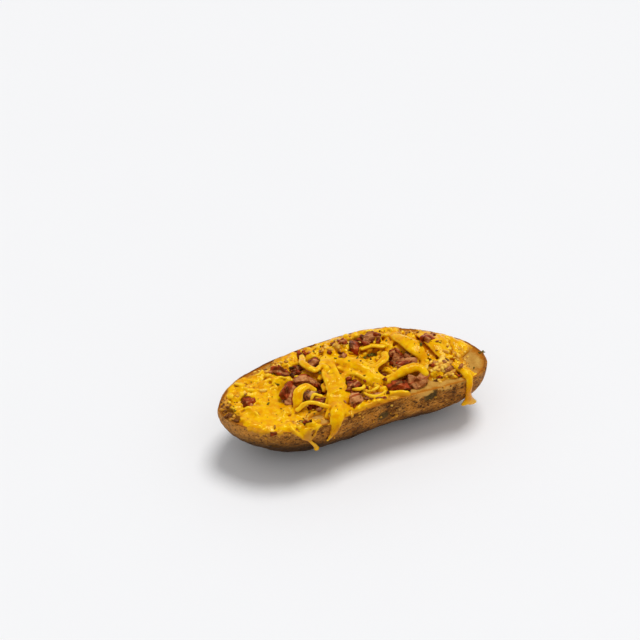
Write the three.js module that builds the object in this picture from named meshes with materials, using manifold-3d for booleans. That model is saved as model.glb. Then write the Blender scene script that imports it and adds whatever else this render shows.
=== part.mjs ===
// Half of a baked potato, cut lengthwise, under melted cheese and pieces of bacon.
// Millimetres, +Z up. The half lies on its skin with the cut face up: +X runs along the potato towards its
// narrower end and +Y across it. The origin is on the table, under the middle of the whole piece.

import * as THREE from "three";
import { mergeVertices } from "three/addons/utils/BufferGeometryUtils.js";
import Module from "manifold-3d";

// ---- driving dimensions ----
const FACE_HEIGHT = 26; // from the table to the edge of the cut face
const FACE_DISH = 1.4; // how far the cut face has sunk in its middle
const FOOT_SHARE = 0.32; // the flat foot's length and width, as a share of the cut face's
const SKIN_ROUNDNESS = 2.25; // 2 is an ellipse from the edge down to the foot, more is squarer
const SKIN_BULGE = 0.025; // how far the skin swells past the edge, as a share of the half-width
const HEAP = 5.4; // cheese over the middle of the face
const CHEESE_EDGE = 1.5; // cheese just inside its outline
const GAP = 0.35; // air kept between neighbours
const SEGMENTS = 48; // points in one turn round the potato

// The edge of the cut face, anticlockwise from the narrow end: a full round end at -X and a flatter front.
const RIM = [
  [65, -8], [59.5, 4], [48, 14.5], [33, 23.5], [15, 27.2], [-4, 26.4], [-22, 23.6], [-39, 19.5],
  [-54, 12.5], [-64, 0.5], [-61, -11], [-51, -21], [-37, -26.8], [-20, -27.3], [0, -24.8],
  [20, -23.4], [38, -23.6], [53, -22.8], [62, -18],
];

// Bare places along the cheese's outline: the direction from the middle of the face, how wide, and how deep.
const BARE_PLACES = [
  { degrees: -11, wide: 10, deep: 0.15 }, // the narrow end
  { degrees: -38, wide: 15, deep: 0.24 }, // the front edge, under the bacon
  { degrees: 153, wide: 12, deep: 0.14 }, // the back edge, towards the round end
];

// The thick strands that lie on the cheese, and the three that run over the edge and down the skin: the
// points that each one passes through, as x, y, z and half-width.
const STRANDS = [
  [[-31, -20, 27.5, 2.6], [-33.6, -26, 26.6, 2.3], [-32.2, -28.6, 23.4, 1.6], [-28.7, -28.7, 19, 1.2],
    [-27, -27.6, 14.8, 1.1], [-25.9, -26.2, 11.6, 1.6]],
  [[-8, 12, 30.6, 2], [-8.6, -2, 31.4, 2.2], [-10, -13, 29.8, 2.4], [-15.4, -21.6, 27.6, 2.6],
    [-19.4, -27, 26, 2.4], [-21.4, -28.8, 21.4, 1.7], [-22.5, -27.7, 16.6, 1]],
  [[43, -12, 28, 2.2], [49.6, -18, 27.4, 2.1], [52.2, -23, 26.2, 2], [51.4, -24.8, 22, 1.7],
    [51.4, -23.9, 16, 1.8], [52.4, -22.2, 11.4, 2.5], [54, -20.6, 9, 1.7]],
  [[-31.6, -16.5, 28, 2], [-31, -10.6, 31.4, 2], [-28, -7.4, 32.9, 2], [-23.4, -6.2, 31.6, 1.8],
    [-20, -8.4, 29, 1.4]],
  [[-31, -15, 28.4, 1.2], [-25.5, -13.4, 30.6, 1.2], [-19.5, -17, 30, 1.1], [-15, -20, 27.8, 1.1]],
  [[-18.4, 15, 28.6, 1.8], [-17.8, 7, 30.8, 1.8], [-15.4, 2.6, 31.4, 1.7], [-12, 2.4, 31, 1.7],
    [-10.4, 7, 29.6, 1.5]],
  [[16.4, -13.6, 28, 1.5], [21, -9.6, 31.2, 1.6], [28, -8.8, 32.2, 1.7], [34, -11, 30.6, 1.5],
    [36.4, -14.6, 28, 1.2]],
  [[46, 5.6, 27.6, 1.7], [43.2, -0.6, 29.8, 1.8], [41, -6.6, 28.4, 1.5]],
  [[-13, -22.4, 26.6, 1.4], [-4, -25.2, 26.7, 1.3], [6, -23.6, 26.7, 1.3], [15.4, -23.4, 26.1, 1.1]],
];
const STRAND_FLATNESS = 0.66; // a strand's thickness as a share of its width

// Every large piece of bacon: where its middle lies on the face, its length, width and thickness, its turn
// about Z and its tilt over its long side in degrees, how far it floats above the flesh, and its bend.
const BACON = [
  { x: -30, y: -3.5, size: [16, 7, 2.2], turn: 58, tilt: 24, rest: 2.2, bend: 1.4 },
  { x: -20, y: 1.5, size: [12.5, 5.5, 1.8], turn: -28, tilt: -20, rest: 4, bend: 1.6 },
  { x: -29, y: 12.5, size: [9, 5, 2.2], turn: -35, tilt: 12, rest: 1.4, bend: 0.7 },
  { x: -13, y: 13.5, size: [9.5, 5.5, 2.4], turn: 24, tilt: -14, rest: 1.8, bend: 0.9 },
  { x: -20.2, y: -14, size: [8.5, 6, 2.2], turn: -14, tilt: 16, rest: 1.2, bend: 0.8 },
  { x: -21.2, y: -6.6, size: [8.5, 4, 1.8], turn: 56, tilt: 30, rest: 1.6, bend: 0.5 },
  { x: -2, y: -11, size: [9.5, 6, 3], turn: 34, tilt: 10, rest: 1.8, bend: 1 },
  { x: -3.4, y: -19, size: [9, 5.6, 1.8], turn: 14, tilt: 18, rest: 0.6, bend: 0.6 },
  { x: 7.2, y: -19.2, size: [7.5, 3.8, 1.8], turn: 6, tilt: 14, rest: 0.6, bend: 0.5 },
  { x: 18.5, y: -16.6, size: [9.5, 6, 2.6], turn: 6, tilt: 20, rest: 0.8, bend: 0.8 },
  { x: 29, y: -15.8, size: [10.5, 7.2, 2.6], turn: 16, tilt: 22, rest: 0.8, bend: 0.9 },
  { x: 28.5, y: -3.2, size: [9, 6.5, 2.8], turn: -34, tilt: 8, rest: 2.2, bend: 1.1 },
  { x: 43.5, y: 6.6, size: [10, 4.4, 2.2], turn: -30, tilt: -16, rest: 2, bend: 1 },
  { x: 10.4, y: 16.6, size: [9, 6.4, 2.6], turn: 66, tilt: 12, rest: 1.4, bend: 0.9 },
  { x: 18.6, y: 19.4, size: [7.5, 5.6, 2.2], turn: 18, tilt: -10, rest: 1.2, bend: 0.7 },
];

const COLOURS = { skin: 0x8a5a30, cheese: 0xf2b416, bacon: 0x9c4a2c };

// ---- solids ----
const wasm = await Module();
wasm.setup();

// A geometry as a manifold-3d solid, for cutting and joining.
function solidOf(geometry) {
  const bare = geometry.clone();
  bare.deleteAttribute("normal");
  bare.deleteAttribute("uv");
  const merged = mergeVertices(bare, 1e-4);
  return new wasm.Manifold(
    new wasm.Mesh({
      numProp: 3,
      vertProperties: merged.attributes.position.array,
      triVerts: new Uint32Array(merged.index.array),
    }),
  );
}

// A manifold-3d solid back as a geometry.
function geometryOf(solid) {
  const made = solid.getMesh();
  const geometry = new THREE.BufferGeometry();
  geometry.setAttribute("position", new THREE.BufferAttribute(made.vertProperties.slice(), 3));
  geometry.setIndex(new THREE.BufferAttribute(made.triVerts.slice(), 1));
  geometry.computeVertexNormals();
  return geometry;
}

// One closed surface over rings of equally many points, from a first pole to a last one. Seen from the
// last pole, each ring runs anticlockwise.
function skinOver(firstPole, rings, lastPole) {
  const around = rings[0].length;
  const points = [firstPole, ...rings.flat(), lastPole];
  const last = points.length - 1;
  const faces = [];
  for (let i = 0; i < around; i++) {
    const next = (i + 1) % around;
    faces.push(0, 1 + next, 1 + i);
    for (let r = 0; r + 1 < rings.length; r++) {
      const low = 1 + r * around;
      const high = low + around;
      faces.push(low + i, low + next, high + next, low + i, high + next, high + i);
    }
    const top = 1 + (rings.length - 1) * around;
    faces.push(top + i, top + next, last);
  }
  const geometry = new THREE.BufferGeometry().setFromPoints(points);
  geometry.setIndex(faces);
  geometry.computeVertexNormals();
  return geometry;
}

// Whole turns shared out in equal steps, as numbers from 0 up to 1.
function shares(count) {
  return Array.from({ length: count }, (_, i) => i / count);
}

// ---- the potato ----
const rimCurve = new THREE.CatmullRomCurve3(
  RIM.map(([x, y]) => new THREE.Vector3(x, y, 0)),
  true,
  "catmullrom",
  0.5,
);

// The cut face's height: the flesh sinks from the edge towards the middle, q being 0 in the middle and 1
// at the edge.
function faceHeight(q) {
  return FACE_HEIGHT - FACE_DISH * (1 - q * q);
}

// The skin's horizontal share of the rim and its height, at an angle from 0 at the edge to 90 degrees
// straight below: a superellipse, with a slight swelling under the edge.
function skinAt(angle) {
  const power = 2 / SKIN_ROUNDNESS;
  return {
    share: Math.cos(angle) ** power + SKIN_BULGE * Math.sin(2 * angle),
    drop: Math.sin(angle) ** power,
  };
}

// The potato, grown by that much all round so that a neighbour can be cut back from it.
function potatoGeometry(grow) {
  const sideRings = 9;
  const faceRings = [0.4, 0.75, 0.96];
  const lastAngle = Math.acos(FOOT_SHARE ** (SKIN_ROUNDNESS / 2));
  const deepest = skinAt(lastAngle).drop;
  const rim = shares(SEGMENTS).map((u) => rimCurve.getPoint(u));
  const ring = (share, z, out) =>
    rim.map((p) => {
      const low = Math.max(0, 1 - z / FACE_HEIGHT) * share;
      const lump = 0.9 * low * Math.sin(p.x * 0.12 + z * 0.2) * Math.cos(p.y * 0.1 + 1);
      const away = p.clone().normalize().multiplyScalar(out + lump);
      return new THREE.Vector3(p.x * share + away.x, p.y * share + away.y, z);
    });
  const rings = [];
  for (let i = sideRings; i >= 1; i--) {
    const { share, drop } = skinAt((lastAngle * i) / sideRings);
    rings.push(ring(share, FACE_HEIGHT * (1 - drop / deepest) - (i === sideRings ? grow : 0), grow));
  }
  rings.push(ring(1, FACE_HEIGHT - 0.8, grow));
  rings.push(ring(0.99, FACE_HEIGHT + grow, grow * 0.6));
  for (const q of faceRings.toReversed()) rings.push(ring(q, faceHeight(q) + grow, 0));
  return skinOver(new THREE.Vector3(0, 0, -grow), rings, new THREE.Vector3(0, 0, faceHeight(0) + grow));
}

// ---- the cheese ----

// How far the cheese reaches towards the rim, as a share, in a direction from the middle of the face.
function cheeseReach(angle) {
  const degrees = THREE.MathUtils.radToDeg(angle);
  const ragged = 0.018 * Math.sin(7 * angle + 1) + 0.014 * Math.sin(13 * angle) + 0.01 * Math.sin(23 * angle);
  const bare = BARE_PLACES.reduce((sum, place) => {
    const away = THREE.MathUtils.euclideanModulo(degrees - place.degrees + 180, 360) - 180;
    return sum + place.deep * Math.exp(-((away / place.wide) ** 2));
  }, 0);
  return 0.955 + ragged - bare;
}

// The cheese's thickness at a share q of its reach: a low heap with lumps, falling to a thin edge.
function cheeseThickness(q, x, y) {
  const heap = CHEESE_EDGE + (HEAP - CHEESE_EDGE) * (1 - q ** 3);
  const lumps = 0.7 * Math.sin(x * 0.31 + 1) * Math.cos(y * 0.37) + 0.4 * Math.sin(x * 0.17 - y * 0.6);
  return heap + lumps * (1 - q * q);
}

function blanketGeometry() {
  const under = 1; // how far the blanket's underside starts below the flesh, before it is cut back
  const rim = shares(SEGMENTS).map((u) => rimCurve.getPoint(u));
  const ring = (q, heightAt) =>
    rim.map((p) => {
      const reach = cheeseReach(Math.atan2(p.y, p.x)) * q;
      const x = p.x * reach;
      const y = p.y * reach;
      return new THREE.Vector3(x, y, heightAt(reach, x, y));
    });
  const top = (q) => ring(q, (reach, x, y) => faceHeight(reach) + cheeseThickness(q, x, y));
  const rings = [
    ring(0.97, (reach) => faceHeight(reach) - under),
    ring(1, (reach) => faceHeight(reach) + CHEESE_EDGE * 0.5),
    ...[0.98, 0.93, 0.84, 0.7, 0.52, 0.34, 0.17].map(top),
  ];
  const middle = new THREE.Vector3(0, 0, faceHeight(0) + cheeseThickness(0, 0, 0));
  return skinOver(new THREE.Vector3(0, 0, faceHeight(0) - under), rings, middle);
}

// One strand: an oval section carried along its line, as wide as the line says and pointed at both ends.
// Its thin side faces away from the middle of the potato.
function strandGeometry(line) {
  const sides = 8;
  const steps = 3 * line.length;
  const path = new THREE.CatmullRomCurve3(line.map(([x, y, z]) => new THREE.Vector3(x, y, z)));
  const widths = new THREE.CatmullRomCurve3(line.map(([, , , width]) => new THREE.Vector3(width, 0, 0)));
  const rings = [];
  for (let i = 1; i < steps; i++) {
    const t = i / steps;
    const along = path.getTangent(t);
    const middle = path.getPoint(t);
    const outward = new THREE.Vector3(0, middle.y * 0.6, middle.z - 12);
    const wide = new THREE.Vector3().crossVectors(outward, along).normalize();
    const thick = new THREE.Vector3().crossVectors(along, wide);
    const half = widths.getPoint(t).x;
    const section = shares(sides).map((u) =>
      middle
        .clone()
        .addScaledVector(wide, half * Math.cos(2 * Math.PI * u))
        .addScaledVector(thick, half * STRAND_FLATNESS * Math.sin(2 * Math.PI * u)),
    );
    rings.push(section);
  }
  return skinOver(path.getPoint(0), rings, path.getPoint(1));
}

// ---- the bacon ----

// A piece of bacon: a flat strip bent along its length, with nearly square sides and an uneven outline.
// Its length runs along X and its middle is at the origin. It can be grown all round to make its pocket.
function baconGeometry([length, width, thick], bend, grow) {
  const steps = 7;
  const sides = 8;
  const rise = (t) => bend * Math.cos(2.6 * t + width);
  const sway = (t) => width * 0.1 * Math.sin(2.2 * t + 3 * width);
  const rings = [];
  for (let i = 0; i <= steps; i++) {
    const t = (2 * i) / steps - 1;
    const outline = (1 - 0.45 * t ** 8) * (1 + 0.13 * Math.sin(4 * t + length));
    const half = (width / 2) * outline + grow;
    const deep = (thick / 2) * (1 - 0.3 * t ** 4) + grow;
    const section = shares(sides).map((u) => {
      const c = Math.cos(2 * Math.PI * (u + 0.0625));
      const s = Math.sin(2 * Math.PI * (u + 0.0625));
      const y = Math.sign(c) * Math.abs(c) ** 0.55 * half;
      const z = Math.sign(s) * Math.abs(s) ** 0.55 * deep;
      return new THREE.Vector3(t * (length / 2 + grow), y + sway(t), rise(t) + z);
    });
    rings.push(section);
  }
  const pole = (t) => new THREE.Vector3(t * (length / 2 + grow + 0.2), sway(t), rise(t));
  return skinOver(pole(-1), rings, pole(1));
}

// Places a piece's mesh so that its lowest point is the gap and its rest above the middle of the flesh.
function placeBacon(mesh, { x, y, turn, tilt, rest }) {
  mesh.rotation.set(THREE.MathUtils.degToRad(tilt), 0, THREE.MathUtils.degToRad(turn), "ZXY");
  mesh.position.set(x, y, 0);
  mesh.updateMatrix();
  const box = new THREE.Box3().setFromBufferAttribute(
    mesh.geometry.attributes.position.clone().applyMatrix4(mesh.matrix),
  );
  const q = Math.hypot(x / 65, y / 27);
  mesh.position.z = faceHeight(Math.min(q, 1)) + FACE_DISH * 0.5 + GAP + rest - box.min.z;
  mesh.updateMatrix();
}

// ---- putting the piece together ----
const material = (color, roughness) => new THREE.MeshStandardMaterial({ color, roughness, metalness: 0 });
const skinMaterial = material(COLOURS.skin, 0.75);
const cheeseMaterial = material(COLOURS.cheese, 0.35);
const baconMaterial = material(COLOURS.bacon, 0.45);

const potato = new THREE.Mesh(potatoGeometry(0), skinMaterial);
potato.name = "potato_half";

const strips = BACON.map((piece, i) => {
  const mesh = new THREE.Mesh(baconGeometry(piece.size, piece.bend, 0), baconMaterial);
  mesh.name = `bacon_${String(i + 1).padStart(2, "0")}`;
  placeBacon(mesh, piece);
  return mesh;
});

// The cheese keeps the gap from the potato below it and from the bacon in it.
let melted = solidOf(blanketGeometry());
for (const line of STRANDS) melted = melted.add(solidOf(strandGeometry(line)));
melted = melted.subtract(solidOf(potatoGeometry(GAP)));
strips.forEach((mesh, i) => {
  const pocket = baconGeometry(BACON[i].size, BACON[i].bend, GAP).applyMatrix4(mesh.matrix);
  melted = melted.subtract(solidOf(pocket));
});
const largest = melted.decompose().sort((a, b) => b.volume() - a.volume())[0];
const cheese = new THREE.Mesh(geometryOf(largest), cheeseMaterial);
cheese.name = "melted_cheese";

// The origin is moved to the middle of the whole piece's footprint, on the table.
const whole = new THREE.Group();
whole.add(potato, cheese, ...strips);
const extent = new THREE.Box3().setFromObject(whole, true);
const centre = extent.getCenter(new THREE.Vector3());
whole.position.set(-centre.x, -centre.y, -extent.min.z);

const bakedPotato = new THREE.Group();
bakedPotato.add(whole);
export default bakedPotato;
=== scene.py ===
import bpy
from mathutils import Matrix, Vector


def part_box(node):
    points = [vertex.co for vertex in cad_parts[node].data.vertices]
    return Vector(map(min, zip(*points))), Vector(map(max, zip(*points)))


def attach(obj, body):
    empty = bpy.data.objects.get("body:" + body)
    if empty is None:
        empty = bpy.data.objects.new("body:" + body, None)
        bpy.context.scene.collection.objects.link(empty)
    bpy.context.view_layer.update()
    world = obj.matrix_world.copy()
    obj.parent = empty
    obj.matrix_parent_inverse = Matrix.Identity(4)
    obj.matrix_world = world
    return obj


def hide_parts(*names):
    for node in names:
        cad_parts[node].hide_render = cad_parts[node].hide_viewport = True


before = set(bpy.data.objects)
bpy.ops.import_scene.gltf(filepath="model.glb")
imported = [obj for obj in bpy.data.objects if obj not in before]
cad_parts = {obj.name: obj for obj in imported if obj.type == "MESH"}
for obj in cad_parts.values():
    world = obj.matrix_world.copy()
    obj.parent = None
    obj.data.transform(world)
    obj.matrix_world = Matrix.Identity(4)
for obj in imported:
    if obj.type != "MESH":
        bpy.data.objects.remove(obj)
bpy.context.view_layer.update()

import math

import bpy
import numpy as np

# ---- The potato ----
# One half of a large baking potato, roasted, cut lengthwise and lying on its skin. The flesh is pale and
# floury, has sunk a little in the middle and has browned along its edge. The skin is thin, brown and finely
# netted.

MM = 0.001
MIDDLE = [-0.375, 1.249, 0]  # the cut face's own middle, from the middle of the whole piece, in mm
FACE_HEIGHT = 26.0
FACE_DISH = 1.4
FOOT_SHARE = 0.32
SKIN_ROUNDNESS = 2.25
SKIN_BULGE = 0.025
LIP_IN, LIP_UP = 0.018, 0.35
RIM = np.array([
    [65, -8], [59.5, 4], [48, 14.5], [33, 23.5], [15, 27.2], [-4, 26.4], [-22, 23.6], [-39, 19.5],
    [-54, 12.5], [-64, 0.5], [-61, -11], [-51, -21], [-37, -26.8], [-20, -27.3], [0, -24.8], [20, -23.4],
    [38, -23.6], [53, -22.8], [62, -18],
], float)


def cubic(a, b, c, d, t):
    """The point at t on the way from b to c: the cubic whose slope at each of them is half the chord between
    that point's neighbours."""
    return 0.5 * (2 * b + (c - a) * t + (2 * a - 5 * b + 4 * c - d) * t**2 + (3 * b - a - 3 * c + d) * t**3)


def closed_curve(points, count):
    """Points along a closed curve through the given ones, by cubic()."""
    u = np.arange(count) / count * len(points)
    i = np.floor(u).astype(int)
    return cubic(*(points[(i + k) % len(points)] for k in (-1, 0, 1, 2)), (u - i)[:, None])


NOISE_PERIOD, SEED_SHIFT = 32, 7.31


def uneven(points, size, seed):
    """Smooth random numbers from -1 to 1 at points (n, 3): a lattice of random values that far apart, blended
    between its corners by 3t^2 - 2t^3 along each axis, and shifted by the seed."""
    table = np.random.default_rng(seed).uniform(-1, 1, (NOISE_PERIOD,) * 3)
    p = np.asarray(points, float) / size + seed * SEED_SHIFT
    i = np.floor(p).astype(int)
    t = p - i
    t = t * t * (3 - 2 * t)
    total = 0.0
    for corner in np.ndindex(2, 2, 2):
        weight = np.prod(np.where(corner, t, 1 - t), axis=-1)
        j = (i + corner) % NOISE_PERIOD
        total = total + weight * table[j[..., 0], j[..., 1], j[..., 2]]
    return total


def octaves(points, size, seed, count=3):
    """A sum of uneven() at halving sizes, each half as strong as the one before, scaled back to 1."""
    strength = 0.5 ** np.arange(count)
    return sum(s * uneven(points, size / 2**k, seed + k) for k, s in enumerate(strength)) / strength.sum()


def ease(x, low, high):
    """0 below low, 1 above high, and 3t^2 - 2t^3 between them."""
    t = np.clip((x - low) / (high - low), 0, 1)
    return t * t * (3 - 2 * t)


def carry(mesh, name, values):
    """Gives each of a mesh's points a value under that name, for its material."""
    mesh.attributes.new(name, "FLOAT", "POINT").data.foreach_set("value", np.asarray(values, np.float32))


def put_mesh(name, points, *faces, **marks):
    """A smooth mesh object at the origin from points in mm, measured from the middle of the cut face's
    outline, arrays of corner numbers, and the values that its points carry."""
    mesh = bpy.data.meshes.new(name)
    moved = (points + MIDDLE) * MM
    mesh.from_pydata(moved.tolist(), [], [corners for some in faces for corners in some.tolist()])
    for mark_name, values in marks.items():
        carry(mesh, mark_name, values)
    mesh.polygons.foreach_set("use_smooth", [True] * len(mesh.polygons))
    mesh.update()
    piece = bpy.data.objects.new(name, mesh)
    bpy.context.scene.collection.objects.link(piece)
    return piece


def closed_rows(rows):
    """Points, four-sided and three-sided faces of a grid of rings (along, around, 3), each ring closed on
    itself, with a pole in the middle of the first ring and of the last."""
    along, around = rows.shape[:2]
    count = along * around
    i = np.arange(around)
    beside = (i + 1) % around
    r = np.arange(along - 1)[:, None] * around
    points = np.concatenate([rows.reshape(-1, 3), rows[0].mean(0)[None], rows[-1].mean(0)[None]])
    sides = np.stack([r + i, r + beside, r + around + beside, r + around + i], -1).reshape(-1, 4)
    first = np.stack([beside, i, i * 0 + count], -1)
    last = np.stack([count - around + i, count - around + beside, i * 0 + count + 1], -1)
    return points, sides, np.concatenate([first, last])


def outward(rows):
    """The unit normal at every point of a closed grid of rings (rings, around, 3), from its two slopes."""
    along = np.gradient(rows, axis=0)
    across = (np.roll(rows, -1, 1) - np.roll(rows, 1, 1)) / 2
    n = np.cross(across, along)
    return n / np.maximum(np.linalg.norm(n, axis=-1, keepdims=True), 1e-9)


AROUND = 440
FACE_RINGS, EDGE_RINGS, SIDE_RINGS, FOOT_RINGS = 66, 8, 120, 12
SKIN_RINGS = SIDE_RINGS + FOOT_RINGS
rim = closed_curve(RIM, AROUND)
rim_length = np.linalg.norm(rim, axis=1)


def potato_rows():
    """The potato as rings (rings, around, 3) from the middle of the foot, up the skin, over the edge and in
    to the middle of the face: the outline scaled by a share and set at a height, both functions of the
    ring."""
    last = math.acos(FOOT_SHARE ** (SKIN_ROUNDNESS / 2))
    angle = last * (1 - np.linspace(0, 1, SIDE_RINGS) ** 0.8)
    power = 2 / SKIN_ROUNDNESS
    side = np.cos(angle) ** power + SKIN_BULGE * np.sin(2 * angle)
    height = FACE_HEIGHT * (1 - (np.sin(angle) / math.sin(last)) ** power)
    foot = FOOT_SHARE * np.linspace(0.02, 0.98, FOOT_RINGS)
    turn = np.linspace(0.1, 1, EDGE_RINGS) * np.pi / 2
    lip = 1 - LIP_IN * (1 - np.cos(turn))
    lip_height = FACE_HEIGHT + LIP_UP * np.sin(turn)
    q = (1 - LIP_IN) * (1 - np.linspace(0, 0.985, FACE_RINGS) ** 1.35)
    sunk_height = FACE_HEIGHT - FACE_DISH * (1 - q**2) + LIP_UP * np.exp(-((1 - LIP_IN - q) / 0.02))
    share = np.concatenate([foot, side, lip, q])
    level = np.concatenate([foot * 0, height, lip_height, sunk_height])
    rows = np.empty((len(share), AROUND, 3))
    rows[..., :2] = rim[None] * share[:, None, None]
    rows[..., 2] = level[:, None]
    return rows, share, level


# How far each point is pushed out, in mm: by lumps and wrinkles on the skin, and by crumb on the flesh.
rows, share, level = potato_rows()
is_face = np.concatenate([np.zeros(SKIN_RINGS), np.linspace(0, 1, EDGE_RINGS), np.ones(FACE_RINGS)])
from_edge = (1 - share)[:, None] * rim_length
skin_part = ((1 - is_face) * ease(level, 0.3, 5))[:, None]
even = rows.reshape(-1, 3)
lumps = 0.7 * octaves(even, 19, 3, 2) + 0.5 * octaves(even * [0.7, 1, 1], 6, 11, 2)
wrinkles = 0.34 * (0.35 - np.abs(octaves(even * [0.55, 1, 1], 2.8, 21, 3))) + 0.05 * uneven(even, 0.8, 31)
crumb = 0.09 * octaves(even, 1.8, 41, 3) + 0.16 * octaves(even * [0.4, 1, 1], 6, 51, 2)
pushed = skin_part * (lumps + wrinkles).reshape(rows.shape[:2])
pushed += is_face[:, None] * crumb.reshape(rows.shape[:2]) * ease(from_edge, 0, 1.5)

# The eyes: shallow dents in the skin, each under a low brow.
EYES = [
    [-46, -24, 17], [20, -23, 15], [-6, -22, 8], [44, -21, 12], [58, -14, 15], [30, 22, 14], [-20, 22, 15],
    [-52, 8, 12], [2, 14, 3],
]
DENT_DEEP, DENT_WIDE = 0.75, 1.3
BROW_HIGH, BROW_WIDE, BROW_OUT = 0.3, 0.9, 2.6
for eye in EYES:
    away = np.linalg.norm((rows - np.array(eye, float)) / [1.5, 1, 1], axis=-1)
    dent = DENT_DEEP * np.exp(-((away / DENT_WIDE) ** 2))
    pushed += skin_part * (BROW_HIGH * np.exp(-(((away - BROW_OUT) / BROW_WIDE) ** 2)) - dent)

rows = rows + outward(rows) * pushed[..., None]
rows[..., 2] = np.maximum(rows[..., 2], 0)
potato_points, sides, ends = closed_rows(rows)
potato_points[-2:, :2] = 0  # the poles stand over the middle
flesh = np.append(np.repeat(is_face, AROUND), [0, 1])
edge = np.append(from_edge, [20, 20])  # the poles are far from it

# The bruises: where the skin has gone green-black, x, y, z and how far they spread.
BRUISES = [[32, -23.6, 23, 4.6], [8, -24, 18.5, 4.0], [-50, -20, 9, 3.4], [52, -15, 10, 3.0]]
bruise = np.max([np.exp(-(((potato_points - spot[:3]) / spot[3]) ** 2).sum(1)) for spot in BRUISES], 0)
potato = put_mesh("Potato_half", potato_points, sides, ends, flesh=flesh, edge=edge, bruise=bruise)


def node(tree, kind, inputs=None, **settings):
    """One shader node: inputs are values or other nodes' sockets, by socket name or number."""
    made = tree.nodes.new("ShaderNode" + kind)
    for key, value in settings.items():
        setattr(made, key, value)
    for key, value in (inputs or {}).items():
        if isinstance(value, bpy.types.NodeSocket):
            tree.links.new(value, made.inputs[key])
        else:
            made.inputs[key].default_value = value
    return made


def finish_of(name, specular, tint=(1, 1, 1), **settings):
    """A material, its Principled shader with that strength and tint of shine and those settings, and the
    object's own coordinates in metres."""
    material = bpy.data.materials.new(name)
    material.use_nodes = True
    tree = material.node_tree
    tree.nodes.clear()
    shader = node(tree, "BsdfPrincipled", {
        "Specular IOR Level": specular, "Specular Tint": (*tint, 1), **settings})
    node(tree, "OutputMaterial", {"Surface": shader.outputs[0]})
    place = node(tree, "TexCoord").outputs["Object"]
    return material, shader, place


def grain(place, size_mm, detail=4.0, rough=0.55, stretch=None, twist=0.0):
    """Noise with features about that many mm across."""
    tree = place.id_data
    if stretch:
        place = node(tree, "Mapping", {"Vector": place, "Scale": stretch}).outputs[0]
    inputs = {"Vector": place, "Scale": 1 / (size_mm * MM), "Detail": detail, "Roughness": rough}
    return node(tree, "TexNoise", {**inputs, "Distortion": twist}).outputs["Fac"]


def spread(value, low, high, to_low=0.0, to_high=1.0):
    """A value's range from low to high taken smoothly to another range, and held there outside it."""
    inputs = {0: value, 1: low, 2: high, 3: to_low, 4: to_high}
    return node(value.id_data, "MapRange", inputs, interpolation_type="SMOOTHSTEP").outputs[0]


def both(kind, a, b):
    """Two values added or multiplied, as kind says."""
    return node(a.id_data, "Math", {0: a, 1: b}, operation=kind).outputs[0]


def mark(shader, name):
    """The value that the mesh's points carry under that name."""
    return node(shader.id_data, "Attribute", attribute_name=name).outputs["Fac"]


def colour(red, green, blue):
    """A screen colour from 0 to 255 as the linear light that the shader wants."""
    c = np.array([red, green, blue]) / 255
    return (*np.where(c <= 0.04045, c / 12.92, ((c + 0.055) / 1.055) ** 2.4).tolist(), 1.0)


def blend(share_of, a, b):
    """Colour a with that share of colour b over it."""
    return node(share_of.id_data, "Mix", {0: share_of, 6: a, 7: b}, data_type="RGBA").outputs[2]


def layered(base, *layers):
    """A colour with others laid over it in turn, each a share and a screen colour."""
    for share_of, red_green_blue in layers:
        base = blend(share_of, base, colour(*red_green_blue))
    return base


def dress(shader, tone, *heights, rough=None):
    """Links a shader's colour, its roughness, and its bump from several heights, each a value and how deep it
    goes in mm."""
    tree, normal = shader.id_data, None
    for value, depth_mm in heights:
        inputs = {"Height": value, "Distance": depth_mm * MM, "Strength": 1.0}
        normal = node(tree, "Bump", {**inputs, "Normal": normal} if normal else inputs).outputs[0]
    for socket, value in {"Base Color": tone, "Roughness": rough, "Normal": normal}.items():
        if value:
            tree.links.new(value, shader.inputs[socket])


# The lengths in this material are in metres, from the middle of the whole piece.
skin_finish, shader, place = finish_of("Roasted potato", 0.18, (1, 0.62, 0.2))
along_x, across_y, height = node(shader.id_data, "SeparateXYZ", {0: place}).outputs
mottle = grain(place, 13, 7, 0.66)
freckle = grain(place, 5.5, 6, 0.62, stretch=(0.7, 1, 1), twist=0.4)
netting = grain(place, 1.3, 4, 0.62, stretch=(0.7, 1, 1), twist=0.8)
fine = grain(place, 0.45, 3, 0.6)
bruised = both("ADD", mark(shader, "bruise"), netting)
ragged_height = both("ADD", height, spread(freckle, 0.3, 0.7, -0.0028, 0.0022))
peeled = both("MULTIPLY", spread(ragged_height, 0.023, 0.0252, 0, 0.9), spread(along_x, 0.02, 0.03))
peeled = both("MULTIPLY", peeled, spread(along_x, 0.052, 0.044))
# Painted shade: the skin goes dark towards the bottom, from a height that is raised at the left end.
shade_height = both("ADD", height, spread(along_x, -0.042, 0.01, -0.0074, 0))
skin = layered(
    blend(spread(mottle, 0.4, 0.6), colour(130, 74, 19), colour(202, 128, 43)),
    (spread(freckle, 0.46, 0.34, 0, 0.5), (58, 28, 8)),  # dark freckles
    (spread(freckle, 0.54, 0.66, 0, 0.45), (208, 146, 70)),  # pale freckles
    (spread(along_x, -0.036, -0.053, 0, 0.62), (214, 146, 64)),  # painted light: the left end made paler
    (spread(netting, 0.465, 0.37, 0, 0.9), (38, 16, 4)),  # dark netting
    (spread(fine, 0.46, 0.34, 0, 0.9), (34, 15, 4)),  # pores
    (spread(netting, 0.56, 0.68, 0, 0.6), (234, 170, 80)),  # pale scales in the netting
    (spread(bruised, 0.95, 1.25, 0, 0.85), (62, 54, 26)),  # bruises
    (peeled, (240, 178, 84)),  # a strip under the rim where the skin has come off
    (spread(shade_height, 0.016, 0.0065, 0, 0.88), (32, 14, 4)),  # painted shade low down, higher on the left
)
face_mottle = grain(place, 5, 6, 0.6)
from_margin = both("ADD", mark(shader, "edge"), spread(face_mottle, 0.3, 0.7, -1.2, 1.6))
far_side = spread(across_y, -0.0215, -0.016, 0.08, 1)
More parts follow.
